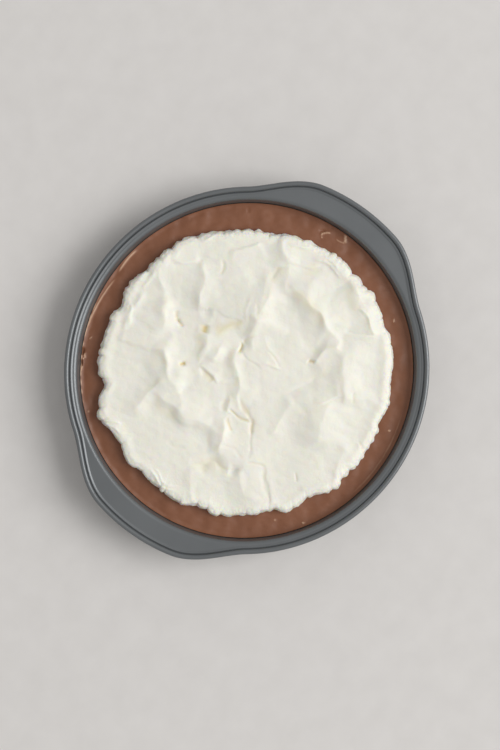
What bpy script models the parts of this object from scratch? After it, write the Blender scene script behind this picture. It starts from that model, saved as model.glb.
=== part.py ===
"""A french silk pie in its round steel tin: dark chocolate filling under a spread of whipped cream.

Units are metres and +Z is up. The origin is under the middle of the tin, on the surface it stands on,
and the tin's two handles point along +X and -X.
"""

from math import cos, hypot, pi, radians, sin, tan

import bmesh
import bpy
import numpy as np

# The tin, by the middle of its sheet unless said otherwise.
SHEET = 0.0008                  # thickness of the pressed steel
OPENING_RADIUS = 0.1157         # where the wall's slope would meet the flange
FLANGE_HEIGHT = 0.0320          # the flange above the table
WALL_LEAN = radians(7.0)        # from the vertical
FLOOR_BEND = 0.006              # radius between the floor and the wall
LIP_BEND = 0.0024               # radius between the wall and the flange
BEAD_RADIUS = 0.00175           # the rolled edge
BEAD_RISE = 0.0003              # the bead's middle above the flange's
RIM_RADIUS = 0.1239             # out to the edge of the bead, away from the handles
HANDLE_REACH = 0.0104           # how far a handle stands out past the rim
HANDLE_FLAT = radians(13.0)     # half the angle over which a handle stands out fully
HANDLE_RAMP = radians(23.0)     # the angle over which it runs back into the rim
OVAL = 0.009                    # how much longer the tin is along its handles than round, as a share
RIDGE_START = 0.1180            # a low step pressed into the flange just inside the bead
RIDGE_WIDTH = 0.0014
RIDGE_RISE = 0.0005
CREASE = 0.0003                 # how far the flange dips before the bead
TURN_STEPS = 84
BEND_POINTS = 3
RIDGE_POINTS = 2
BEAD_POINTS = 8

# The filling.
GAP = 0.0003                    # between pieces that touch
FILLING_LEVEL = 0.0225          # its surface above the table
MENISCUS_RISE = 0.0010          # how far it climbs where it meets the wall
MENISCUS_WIDTH = 0.0035
CREST_INSET = 0.0002            # how far inside the wall its edge is highest

# The whipped cream. Its own X axis lies this far round from the handles.
CREAM_TURN = radians(54.5)
PLAN_SCALE = 1.009              # the spread's plan was laid out at the height of the rim, seen from above
CREAM_RADIUS = 0.0980
CREAM_OVAL = 0.0016             # how much longer one half axis is than the mean
CREAM_OVAL_TURN = radians(11.5)
CREAM_EDGE = 0.0105             # height of the spread near its edge
CREAM_DOME = 0.0010             # how much higher it is in the middle
CREAM_ROUND = 0.0030            # how far in from the edge the top starts to turn down
GRID = 41                       # points across the mesh of the spread
FLOOR_DEPTH = 0.0017            # how far under the spread's level the floor between the folds lies
CREST_ROUND = 0.0005
SIDE_CURVE = 1.6                # how much the sides of the folds flatten towards their feet
END_SHARE = 0.22                # the share of a fold's length over which each end fades out, at the least
END_RUN = 3.5                   # and how many times its height
SKIRT_WIDTH = 0.0060            # outside it the top falls towards the edge
SKIRT_DROP = 0.0016
EDGE_SHARE = 0.90               # the share of the mesh's rings that lie on the top
EDGE_TURN = radians(152.0)      # how far the edge's round runs, from flat on top to tucked under
SCALLOPS = 50                   # rounded teeth round the edge
SCALLOP_WIDTHS = (0.3, 1.7)     # the range of their widths beside the mean
SCALLOP_REACH = 0.0024
SCALLOP_SEED = 5

# The edge's lobes: the angle round the cream, half the angle they span, and how far they stand out.
LOBES = (
    (7, 4, 0.0008), (18, 4, -0.0022), (38, 4, -0.0016), (43, 3, -0.0012), (51, 3, 0.0010),
    (60, 5, -0.0014), (70, 3, -0.0012), (79, 6, -0.0026), (93, 7, -0.0018), (105, 4, 0.0010),
    (116, 8, 0.0016), (136, 5, -0.0012), (146, 5, 0.0018), (152, 4, -0.0030), (174, 8, 0.0011),
    (186, 3, -0.0040), (197, 6, 0.0048), (206, 3, -0.0008), (219, 5, 0.0022), (239, 7, 0.0026),
    (244, 2, 0.0024), (260, 6, 0.0030), (271, 6, 0.0014), (282, 2, -0.0014), (286, 4, 0.0034),
    (299, 5, -0.0020), (306, 5, 0.0030), (323, 4, -0.0010), (338, 3, -0.0036), (356, 5, -0.0010),
)

# Folds that the spatula raised: start, end, bow to the left, height of the sharp crest, and how far its
# two sides run out, left and right.
FOLDS = (
    # north
    (-0.0325, 0.038, -0.030, 0.074, -0.0015, 0.0034, 0.014, 0.024),
    (-0.054, 0.034, -0.053, 0.076, 0.004, 0.0014, 0.009, 0.008),
    (0.002, 0.016, 0.020, 0.066, -0.0005, 0.006, 0.040, 0.021),
    (0.004, 0.013, 0.011, 0.038, 0.000, 0.0012, 0.008, 0.018),
    (0.010, 0.046, 0.016, 0.070, 0.000, 0.0009, 0.012, 0.010),
    (0.0645, 0.016, 0.027, 0.063, -0.0005, 0.0062, 0.018, 0.022),
    (0.086, 0.015, 0.066, 0.061, -0.004, 0.0042, 0.025, 0.008),
    (0.026, 0.050, 0.027, 0.072, 0.000, 0.0018, 0.010, 0.018),
    (0.025, 0.066, 0.021, 0.089, -0.004, 0.0024, 0.014, 0.010),
    (0.042, 0.079, 0.072, 0.058, 0.0015, 0.0007, 0.005, 0.006),
    (-0.032, 0.0408, -0.020, 0.0408, 0.000, -0.0016, 0.0012, 0.007),
    # west
    (-0.0455, -0.016, -0.061, 0.020, -0.001, 0.0033, 0.014, 0.014),
    (-0.049, -0.009, -0.060, 0.014, -0.001, 0.0006, 0.004, 0.005),
    (-0.049, -0.004, -0.042, -0.029, 0.000, 0.0009, 0.009, 0.022),
    (-0.059, 0.024, -0.056, 0.051, -0.003, 0.0023, 0.018, 0.012),
    (-0.080, 0.025, -0.066, 0.054, 0.004, 0.0012, 0.005, 0.007),
    (-0.079, -0.032, -0.049, -0.003, 0.003, 0.0023, 0.014, 0.012),
    (-0.068, -0.012, -0.012, -0.045, -0.0018, 0.0029, 0.024, 0.0105),
    (-0.058, -0.023, -0.022, -0.046, -0.002, -0.001, 0.009, 0.014),
    (-0.050, -0.027, -0.026, -0.043, 0.000, 0.0009, 0.012, 0.009),
    (-0.079, 0.060, -0.050, 0.080, -0.001, 0.0014, 0.006, 0.006),
    # middle
    (-0.0305, 0.003, -0.0325, 0.031, -0.006, 0.0026, 0.009, 0.020),
    (-0.0295, 0.002, -0.0255, 0.018, 0.0015, 0.0008, 0.003, 0.004),
    (-0.021, 0.004, -0.018, 0.021, 0.001, 0.0016, 0.004, 0.009),
    (-0.010, -0.007, -0.008, 0.015, 0.000, 0.0008, 0.007, 0.009),
    (-0.0135, -0.031, -0.011, -0.015, 0.000, 0.0011, 0.004, 0.010),
    (-0.003, -0.025, -0.008, 0.016, 0.000, 0.0021, 0.0095, 0.014),
    (0.040, 0.000, 0.064, 0.022, 0.000, 0.0026, 0.009, 0.010),
    (0.026, -0.017, 0.049, -0.003, -0.0005, -0.0006, 0.003, 0.012),
    (0.018, 0.000, 0.012, 0.024, -0.001, 0.0006, 0.016, 0.005),
    # east
    (0.064, -0.026, 0.066, 0.022, 0.000, 0.0034, 0.026, 0.030),
    (0.046, -0.054, 0.056, -0.015, 0.001, 0.0029, 0.028, 0.032),
    (0.015, -0.046, 0.035, -0.019, 0.003, 0.0013, 0.009, 0.012),
    (0.060, -0.018, 0.088, -0.022, 0.001, 0.001, 0.008, 0.008),
    # south
    (-0.0195, -0.063, -0.013, -0.029, 0.0016, 0.0032, 0.009, 0.014),
    (-0.036, -0.091, -0.038, -0.065, 0.001, 0.0008, 0.008, 0.004),
    (0.010, -0.090, -0.0065, -0.064, 0.004, 0.0011, 0.018, 0.005),
    (-0.038, -0.0615, -0.001, -0.067, 0.000, -0.003, 0.007, 0.009),
    (-0.013, -0.073, -0.012, -0.058, 0.000, 0.0018, 0.024, 0.006),
    (0.058, -0.072, 0.068, -0.048, 0.000, 0.001, 0.008, 0.010),
)


def clear_scene():
    for thing in list(bpy.data.objects):
        bpy.data.objects.remove(thing, do_unlink=True)


def material(name, colour, roughness, metallic=0.0):
    made = bpy.data.materials.new(name)
    made.use_nodes = True
    shader = made.node_tree.nodes["Principled BSDF"]
    shader.inputs["Base Color"].default_value = (*colour, 1.0)
    shader.inputs["Roughness"].default_value = roughness
    shader.inputs["Metallic"].default_value = metallic
    return made


def steel_coating():
    return material("dark_coated_steel", (0.18, 0.19, 0.195), 0.38, 0.6)


def chocolate():
    return material("chocolate_filling", (0.235, 0.093, 0.048), 0.45)


def whipped_cream():
    return material("whipped_cream", (0.88, 0.87, 0.79), 0.55)


def smoothstep(x):
    x = np.clip(x, 0.0, 1.0)
    return x * x * (3.0 - 2.0 * x)


# Turned shapes


def bend(corner, radius, heading_in, heading_out):
    """The points and headings of the round bend that takes the place of a corner in a section."""
    turn = heading_out - heading_in
    side = 1.0 if turn > 0.0 else -1.0
    tangent = radius * tan(abs(turn) / 2.0)
    start = (corner[0] - tangent * cos(heading_in), corner[1] - tangent * sin(heading_in))
    centre = (start[0] - side * radius * sin(heading_in), start[1] + side * radius * cos(heading_in))
    points = []
    for k in range(BEND_POINTS + 1):
        heading = heading_in + turn * k / BEND_POINTS
        r = centre[0] + side * radius * sin(heading)
        z = centre[1] - side * radius * cos(heading)
        points.append((r, z, heading))
    return points


def sheet_line():
    """The middle of the tin's sheet from the axis out to the bead, as radius, height and heading."""
    floor = SHEET / 2.0
    slope = pi / 2.0 - WALL_LEAN
    floor_corner = (OPENING_RADIUS - (FLANGE_HEIGHT - floor) * tan(WALL_LEAN), floor)
    lip_corner = (OPENING_RADIUS, FLANGE_HEIGHT)
    line = [(0.0, floor, 0.0)]
    line += bend(floor_corner, FLOOR_BEND, 0.0, slope)
    line += bend(lip_corner, LIP_BEND, slope, 0.0)
    return line


def flange_line():
    """On from the lip: flat to the step, and over it."""
    line = []
    for k in range(RIDGE_POINTS + 1):
        along = k / RIDGE_POINTS
        slope = RIDGE_RISE * 6.0 * along * (1.0 - along) / RIDGE_WIDTH
        height = FLANGE_HEIGHT + RIDGE_RISE * float(smoothstep(along))
        line.append((RIDGE_START + RIDGE_WIDTH * along, height, float(np.arctan(slope))))
    return line


def beside(line, distance):
    """The line shifted to its left, which is up from the floor and in from the wall."""
    return [(r - sin(heading) * distance, z + cos(heading) * distance) for r, z, heading in line]


def bead_arc():
    """Round the outside of the bead, from where the flange's top meets it to where its underside does."""
    middle = (RIM_RADIUS - BEAD_RADIUS, FLANGE_HEIGHT + BEAD_RISE)
    first = pi - np.arcsin((SHEET / 2.0 - CREASE - BEAD_RISE) / BEAD_RADIUS)
    last = -pi + np.arcsin((SHEET / 2.0 + BEAD_RISE) / BEAD_RADIUS)
    turns = [first + (last - first) * k / (BEAD_POINTS - 1) for k in range(BEAD_POINTS)]
    return [(middle[0] + BEAD_RADIUS * cos(a), middle[1] + BEAD_RADIUS * sin(a)) for a in turns]


def turned(name, section, collection):
    """A section turned about Z, given from the axis, down the outside and back to the axis."""
    mesh = bpy.data.meshes.new(name + "_section")
    edges = [(k, k + 1) for k in range(len(section) - 1)]
    mesh.from_pydata([(r, 0.0, z) for r, z in section], edges, [])
    outline = bpy.data.objects.new(name + "_section", mesh)
    collection.objects.link(outline)
    screw = outline.modifiers.new("turn", "SCREW")
    screw.axis = "Z"
    screw.angle = 2.0 * pi
    screw.steps = TURN_STEPS
    screw.render_steps = TURN_STEPS
    screw.use_merge_vertices = True
    screw.merge_threshold = 0.00001
    screw.use_smooth_shade = True
    bpy.context.view_layer.update()
    evaluated = outline.evaluated_get(bpy.context.evaluated_depsgraph_get())
    solid = bpy.data.meshes.new_from_object(evaluated)
    solid.name = name
    bpy.data.objects.remove(outline, do_unlink=True)
    made = bpy.data.objects.new(name, solid)
    collection.objects.link(made)
    return made


def handle_reach(angle):
    """How far the rim stands out at an angle round the tin: most at the two handles."""
    from_handle = abs((angle + pi / 2.0) % pi - pi / 2.0)
    along = (from_handle - HANDLE_FLAT) / HANDLE_RAMP
    return HANDLE_REACH * (1.0 - float(smoothstep(along)))


def draw_out_handles(mesh):
    """Widen the flange into the two handles, with the bead carried along its edge."""
    inner = sheet_line()[-1][0]
    for vertex in mesh.vertices:
        x, y, z = vertex.co
        radius = hypot(x, y)
        share = min(max((radius - inner) / (RIDGE_START - inner), 0.0), 1.0)
        if share > 0.0:
            scale = 1.0 + share * handle_reach(np.arctan2(y, x)) / radius
            vertex.co = (x * scale, y * scale, z)


def make_oval(mesh):
    """Stretch along the handles and narrow across them."""
    for vertex in mesh.vertices:
        vertex.co.x *= 1.0 + OVAL
        vertex.co.y *= 1.0 - OVAL


def build_tin(collection):
    line = sheet_line() + flange_line()
    top = beside(line, SHEET / 2.0)
    under = beside(line, -SHEET / 2.0)
    tin = turned("tin", top + bead_arc() + under[::-1], collection)
    draw_out_handles(tin.data)
    make_oval(tin.data)
    tin.data.set_sharp_from_angle(angle=radians(50.0))
    tin.data.materials.append(steel_coating())
    return tin


def wall_at(height):
    """The radius of the filling's side at a height on the tin's straight wall."""
    bottom, top = beside(sheet_line(), SHEET / 2.0 + GAP)[BEND_POINTS + 1:BEND_POINTS + 3]
    return bottom[0] + (top[0] - bottom[0]) * (height - bottom[1]) / (top[1] - bottom[1])


def build_filling(collection):
    """The filling from the tin's floor to its level surface, which climbs a little at the wall."""
    side = beside(sheet_line(), SHEET / 2.0 + GAP)[:BEND_POINTS + 2]
    edge = wall_at(FILLING_LEVEL) - MENISCUS_WIDTH
    crest = FILLING_LEVEL + MENISCUS_RISE
    section = [(0.0, FILLING_LEVEL), (edge, FILLING_LEVEL)]
    section += [(edge + 0.6 * MENISCUS_WIDTH, FILLING_LEVEL + 0.33 * MENISCUS_RISE)]
    section += [(wall_at(crest) - CREST_INSET, crest)]
    filling = turned("chocolate_filling", section + side[::-1], collection)
    make_oval(filling.data)
    filling.data.set_sharp_from_angle(angle=radians(50.0))
    filling.data.materials.append(chocolate())
    return filling


# The whipped cream


def scallops(angle):
    """Uneven rounded teeth round the edge, from nothing at their ends to one at the middle of the tallest."""
    draw = np.random.default_rng(SCALLOP_SEED)
    ends = np.cumsum(draw.uniform(*SCALLOP_WIDTHS, SCALLOPS))
    ends *= 2.0 * pi / ends[-1]
    starts = np.concatenate(([0.0], ends[:-1]))
    heights = draw.uniform(0.1, 1.0, SCALLOPS)
    around = np.mod(angle, 2.0 * pi)
    which = np.minimum(np.searchsorted(ends, around), SCALLOPS - 1)
    along = (around - starts[which]) / (ends[which] - starts[which])
    return heights[which] * np.sqrt(np.clip(4.0 * along * (1.0 - along), 0.0, 1.0))


def edge_radius(angle):
    """The cream's outline: nearly round, with lobes where the spatula left it and teeth all round."""
    radius = CREAM_RADIUS + CREAM_OVAL * np.cos(2.0 * (angle - CREAM_OVAL_TURN))
    radius = radius + SCALLOP_REACH * (scallops(angle) - 0.5)
    for middle, half, reach in LOBES:
        away = (angle - radians(middle) + pi) % (2.0 * pi) - pi
        radius = radius + reach * np.exp(-(away / radians(half)) ** 2)
    return radius


def bowed(line, pieces=8):
    """Points along a chord bowed to its left."""
    x0, y0, x1, y1, bow = line[:5]
    along = np.linspace(0.0, 1.0, pieces + 1)
    length = hypot(x1 - x0, y1 - y0)
    aside = 4.0 * bow * along * (1.0 - along) / length
    return x0 + (x1 - x0) * along - (y1 - y0) * aside, y0 + (y1 - y0) * along + (x1 - x0) * aside


def beside_line(x, y, line):
    """How far each point lies to the left of a bowed line, and how far along it, from 0 to 1."""
    line_x, line_y = bowed(line)
    pieces = len(line_x) - 1
    distance = np.full(x.shape, 1.0)
    place = np.zeros(x.shape)
    for k in range(pieces):
        dx, dy = line_x[k + 1] - line_x[k], line_y[k + 1] - line_y[k]
        share = np.clip(((x - line_x[k]) * dx + (y - line_y[k]) * dy) / (dx * dx + dy * dy), 0.0, 1.0)
        off_x, off_y = x - line_x[k] - dx * share, y - line_y[k] - dy * share
        away = np.hypot(off_x, off_y)
        nearer = away < np.abs(distance)
        side = np.where(dx * off_y - dy * off_x < 0.0, -1.0, 1.0)
        distance = np.where(nearer, side * away, distance)
        place = np.where(nearer, (k + share) / pieces, place)
    return distance, place


def end_share(fold):
    """Tall folds fade out over more of their length, so that their ends lie no steeper than their sides."""
    length = hypot(fold[2] - fold[0], fold[3] - fold[1])
    return min(max(abs(fold[5]) * END_RUN / length, END_SHARE), 0.5)


def faded_ends(place, share):
    return smoothstep(place / share) * smoothstep((1.0 - place) / share)


def folded(x, y):
    """Heights of the folds, whose crests are sharp and whose sides flatten towards their feet."""
    total = np.zeros(x.shape)
    for fold in FOLDS:
        aside, place = beside_line(x, y, fold)
        foot = np.where(aside > 0.0, fold[6], fold[7])
        down = np.clip(1.0 - np.hypot(aside, CREST_ROUND) / foot, 0.0, 1.0)
        total += fold[5] * faded_ends(place, end_share(fold)) * down ** SIDE_CURVE
    return total


def top_height(x, y):
    """The height of the cream's top over the filling."""
    out = np.hypot(x, y) / edge_radius(np.arctan2(y, x))
    inset = (1.0 - out) * CREAM_RADIUS
    z = CREAM_EDGE - FLOOR_DEPTH + CREAM_DOME * np.clip(1.0 - out * out, 0.0, 1.0)
    return z + folded(x, y) - SKIRT_DROP * np.clip(1.0 - inset / SKIRT_WIDTH, 0.0, 1.0) ** 2


def disc_grid():
    """A square grid drawn into a disc so that its rings become circles: share of the radius, and angle."""
    v, u = np.meshgrid(np.linspace(-1.0, 1.0, GRID), np.linspace(-1.0, 1.0, GRID), indexing="ij")
    wide = np.abs(u) > np.abs(v)
    safe_u = np.where(wide, u, 1.0)
    safe_v = np.where(wide | (v == 0.0), 1.0, v)
    radius = np.where(wide, u, v)
    angle = np.where(wide, pi / 4.0 * v / safe_u, pi / 2.0 - pi / 4.0 * u / safe_v)
    return np.abs(radius), np.where(radius < 0.0, angle + pi, angle)


def build_cream(collection):
    """The spread of cream: its folded top, a rounded edge and a flat underside on the filling."""
    share, angle = disc_grid()
    flat_end = edge_radius(angle) - CREAM_ROUND
    turn = np.clip((share - EDGE_SHARE) / (1.0 - EDGE_SHARE), 0.0, 1.0) * EDGE_TURN
    radius = np.minimum(share / EDGE_SHARE, 1.0) * flat_end + CREAM_ROUND * np.sin(turn)
    x, y = radius * np.cos(angle), radius * np.sin(angle)
    z = FILLING_LEVEL + GAP + top_height(x, y) * (0.5 + 0.5 * np.cos(turn * pi / EDGE_TURN))
    c, s = PLAN_SCALE * cos(CREAM_TURN), PLAN_SCALE * sin(CREAM_TURN)
    shape = bmesh.new()
    bmesh.ops.create_grid(shape, x_segments=GRID - 1, y_segments=GRID - 1, size=1.0)
    shape.verts.ensure_lookup_table()
    for k, (px, py, pz) in enumerate(zip(x.ravel(), y.ravel(), z.ravel())):
        shape.verts[k].co = (c * px + s * py, c * py - s * px, pz)
    bmesh.ops.edgeloop_fill(shape, edges=[edge for edge in shape.edges if edge.is_boundary])
    bmesh.ops.recalc_face_normals(shape, faces=shape.faces)
    mesh = bpy.data.meshes.new("whipped_cream")
    shape.to_mesh(mesh)
    shape.free()
    mesh.shade_smooth()
    mesh.materials.append(whipped_cream())
    cream = bpy.data.objects.new("whipped_cream", mesh)
    collection.objects.link(cream)
    return cream


def main():
    clear_scene()
    pie = bpy.data.collections.new("french_silk_pie")
    bpy.context.scene.collection.children.link(pie)
    build_tin(pie)
    build_filling(pie)
    build_cream(pie)


main()
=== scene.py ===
"""The looks of a french silk pie: its steel tin, the chocolate filling and the folded whipped cream.

Units are metres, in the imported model's frame: +Z is up, and the tin's handles point along +X and -X.
"""

from math import cos, hypot, pi, radians, sin, tan

import bmesh
import bpy
import numpy as np
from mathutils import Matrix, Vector


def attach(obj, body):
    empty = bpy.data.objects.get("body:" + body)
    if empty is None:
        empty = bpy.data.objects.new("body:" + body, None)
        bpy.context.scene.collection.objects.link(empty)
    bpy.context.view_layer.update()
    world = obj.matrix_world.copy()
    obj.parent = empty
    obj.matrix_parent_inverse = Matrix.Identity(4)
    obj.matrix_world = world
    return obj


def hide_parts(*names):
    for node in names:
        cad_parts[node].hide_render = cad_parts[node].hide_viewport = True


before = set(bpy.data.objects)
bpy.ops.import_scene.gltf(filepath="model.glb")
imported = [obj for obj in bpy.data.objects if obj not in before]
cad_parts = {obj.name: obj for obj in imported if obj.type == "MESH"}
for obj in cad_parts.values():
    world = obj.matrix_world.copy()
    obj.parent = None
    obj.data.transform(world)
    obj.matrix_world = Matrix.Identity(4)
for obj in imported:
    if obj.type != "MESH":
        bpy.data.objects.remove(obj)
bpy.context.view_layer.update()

# The tin, by the middle of its sheet unless said otherwise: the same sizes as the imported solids.
SHEET = 0.0008                  # thickness of the pressed steel
OPENING_RADIUS = 0.1157         # where the wall's slope would meet the flange
FLANGE_HEIGHT = 0.0320          # the flange above the table
WALL_LEAN = radians(7.0)        # from the vertical
FLOOR_BEND = 0.006              # radius between the floor and the wall
LIP_BEND = 0.0024               # radius between the wall and the flange
BEAD_RADIUS = 0.00175           # the rolled edge
BEAD_RISE = 0.0003              # the bead's middle above the flange's
RIM_RADIUS = 0.1239             # out to the edge of the bead, away from the handles
HANDLE_REACH = 0.0104           # how far a handle stands out past the rim
HANDLE_FLAT = radians(13.0)     # half the angle over which a handle stands out fully
HANDLE_RAMP = radians(23.0)     # the angle over which it runs back into the rim
OVAL = 0.009                    # how much longer the tin is along its handles than round, as a share
RIDGE_START = 0.1180            # a low step pressed into the flange just inside the bead
RIDGE_WIDTH = 0.0014
RIDGE_RISE = 0.0005
CREASE = 0.0003                 # how far the flange dips before the bead
FLANGE_POINTS = 8
RIDGE_POINTS = 8
BEND_POINTS = 12
BEAD_POINTS = 22
TURN_STEPS = 384
TIN_SHARP = radians(40.0)       # edges sharper than this aren't smoothed
MERGE = 0.00001                 # points of a turned shape closer than this become one

# The filling.
GAP = 0.0003                    # between pieces that touch
FILLING_LEVEL = 0.0225          # its surface above the table
MENISCUS_RISE = 0.0010          # how far it climbs where it meets the wall
MENISCUS_WIDTH = 0.0035
MENISCUS_CURVE = 2.2            # how much of the climb is left for the last of that width
MENISCUS_POINTS = 8
CREST_INSET = 0.0002            # how far inside the wall its edge is highest
FILLING_RINGS = 56              # closely spaced rings where the filling shows, outside the cream
FILLING_SHOWS = 0.084
FILLING_STEPS = 640
FILLING_SHARP = radians(50.0)
SWELLS = ((0.00014, 0.013, 41), (0.00004, 0.0042, 42))    # gentle unevenness: rise, size, seed
SCRAPE_FULL = 0.0005            # raised scrapes at least this high get their full paler colour, partly their own and partly painted highlight
SCRAPE_AND_HIGHLIGHT_SHARE = 0.6              # how much paler the scrapes and the painted edge highlight look at full
EDGE_HIGHLIGHT = (radians(173.0), radians(18.0), 0.0007)        # a painted highlight along the filling's edge where it faces the light: middle, half angle, width
EDGE_HIGHLIGHT_SHARE = 1.2                 # how bright the painted edge highlight is beside a raised scrape
EDGE_HIGHLIGHT_ENDS = 4                    # how sharply it ends
EDGE_HIGHLIGHT_PATCHES = (0.7, 0.5, 0.006, 43)    # its patchiness: mean, swing, size, seed

# Marks in the filling: start, end, bow to the left, half width and height, below zero where it is torn.
MARKS = (
    (0.0485, 0.0935, 0.0525, 0.0940, 0.0, 0.0008, -0.0009),
    (0.0495, 0.0915, 0.0565, 0.0920, 0.0006, 0.0005, 0.0006),
    (0.0502, 0.0885, 0.0505, 0.0925, 0.0003, 0.0004, 0.0005),
    (0.0562, 0.0955, 0.0588, 0.0978, 0.0, 0.0008, -0.0009),
    (0.0595, 0.0885, 0.0665, 0.0852, -0.0008, 0.0005, 0.0003),
    (0.0660, 0.0850, 0.0662, 0.0910, 0.0, 0.0007, 0.0007),
    (-0.0745, 0.0825, -0.0880, 0.0660, -0.0011, 0.0007, 0.0005),
    (-0.0880, 0.0645, -0.1095, 0.0250, -0.0028, 0.0006, 0.0004),
    (0.1070, -0.0240, 0.0665, -0.0885, 0.0068, 0.0007, 0.00016),
    (-0.1122, 0.0115, -0.1108, 0.0160, 0.0, 0.0011, -0.0020),
    (-0.1096, 0.0090, -0.1104, 0.0130, 0.0, 0.0006, 0.0006),
    (-0.1128, 0.0040, -0.1118, 0.0085, 0.0, 0.0010, -0.0020),
    (-0.1112, 0.0045, -0.1106, 0.0100, 0.0003, 0.0005, 0.0006),
    (-0.1122, 0.0005, -0.1116, 0.0045, 0.0, 0.0006, 0.0005),
    (-0.1072, 0.0225, -0.1050, 0.0232, 0.0, 0.0005, 0.0005),
    (-0.0400, 0.1030, -0.0388, 0.1045, 0.0, 0.0006, 0.0004),
    (-0.0387, 0.1000, -0.0398, 0.1050, 0.0, 0.0004, -0.0005),
    (0.0, 0.1060, 0.0006, 0.1105, 0.0, 0.0004, -0.0005),
    (0.0990, 0.0318, 0.1000, 0.0336, 0.0, 0.0006, 0.0005),
    (0.0960, -0.0410, 0.0978, -0.0420, 0.0, 0.0006, 0.0005),
    (0.0190, -0.1005, 0.0208, -0.1015, 0.0, 0.0006, 0.0004),
    (0.0385, -0.1025, 0.0402, -0.1038, 0.0, 0.0006, 0.0005),
    (-0.1078, -0.0262, -0.1064, -0.0275, 0.0, 0.0006, 0.0004),
)

# The whipped cream. Its own X axis lies this far round from the handles.
CREAM_TURN = radians(54.5)
PLAN_SCALE = 1.009              # the spread's plan was laid out at the height of the rim, seen from above
CREAM_RADIUS = 0.0980
CREAM_OVAL = 0.0016             # how much longer one half axis is than the mean
CREAM_OVAL_TURN = radians(11.5)
CREAM_EDGE = 0.0105             # height of the spread near its edge
CREAM_DOME = 0.0010             # how much higher it is in the middle
CREAM_ROUND = 0.0022            # how far in from the edge the top starts to turn down
GRID = 289                      # points across the mesh of the spread
CREST_ROUND = 0.0005            # rounds the sharp crests of the folds
SIDE_CURVE = 1.6                # how much the sides of the folds flatten towards their feet
FLOOR_DEPTH = 0.0017            # how far under the spread's level the floor between the folds lies
END_SHARE = 0.22                # the share of a fold's length over which each end fades out, at the least
END_RUN = 3.5                   # and at least this many times its height
END_MOST = 0.5                  # but never more than this share
BOW_PIECES = 8                  # straight pieces in a bowed line
FAR = 1.0                       # farther than any point lies from a line
SLIT_SHADE_FULL = 0.0018              # slits at least this deep get the full painted shade
WANDER = ((0.0010, 0.026, 21), (0.0005, 0.013, 3))    # how far the folds wander, size, seed
WANDER_WAVES = 8
RIM_CREST = 0.0055              # a low swell all round, this far inside the edge
RIM_CREST_WIDTH = 0.0030
RIM_CREST_RISE = 0.0006
ROUGHNESS = (                   # height, size, seed, and how far in from the edge it reaches
    (0.0004, 0.040, 17, 0.5), (0.00005, 0.008, 11, 0.5),
    (0.00013, 0.0028, 13, 0.008), (0.00007, 0.0015, 14, 0.006),
)
ROUGHNESS_WAVES = 24
ROUGHNESS_FADE = 0.8            # the share of that reach over which it fades out
SKIRT_WIDTH = 0.0060            # this near the edge the top falls away towards it
SKIRT_DROP = 0.0016
EDGE_SHARE = 0.93               # the share of the mesh's rings that lie on the top
EDGE_TURN = radians(152.0)      # how far the edge's round runs, from flat on top to tucked under

SCALLOPS = 50                   # rounded teeth round the edge
SCALLOP_WIDTHS = (0.3, 1.7)     # the range of their widths beside the mean
SCALLOP_HEIGHTS = (0.1, 1.0)    # the range of their heights beside the tallest
SCALLOP_MIDDLE = 0.5            # the height that lies on the mean outline
SCALLOP_REACH = 0.0024          # of the tallest, from its ends
SCALLOP_SEED = 5
FRAYS = ((0.00038, 0.0070, 31), (0.00012, 0.0038, 32))    # finer fraying: reach, size, seed
FRAY_FADE = 16                  # how quickly the fraying fades inwards
TEETH_TURN = 0.45               # how far round the edge the teeth keep their size
TEETH_LEFT = 0.25               # what is left of them at the foot
LUMPS = ((0.00032, 0.0075, 51), (0.00010, 0.0032, 52))    # lumps on its side: rise, size, seed
LUMP_LEAN = 1.3                 # how they run round it as they go down
LUMP_INSET = 0.0002             # how far the side is drawn in to make room for them

# Lobes of the outline: middle and half width in degrees, and reach.
LOBES = (
    (7, 4, 0.0008), (18, 4, -0.0022), (38, 4, -0.0016), (43, 3, -0.0012), (51, 3, 0.0010),
    (60, 5, -0.0014), (70, 3, -0.0012), (79, 6, -0.0026), (93, 7, -0.0018), (105, 4, 0.0010),
    (116, 8, 0.0016), (136, 5, -0.0012), (146, 5, 0.0018), (152, 4, -0.0030), (174, 8, 0.0011),
    (186, 3, -0.0040), (197, 6, 0.0048), (206, 3, -0.0008), (219, 5, 0.0022), (239, 7, 0.0026),
    (244, 2, 0.0024), (260, 6, 0.0030), (271, 6, 0.0014), (282, 2, -0.0014), (286, 4, 0.0034),
    (299, 5, -0.0020), (306, 5, 0.0030), (323, 4, -0.0010), (338, 3, -0.0036), (356, 5, -0.0010),
)

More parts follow.
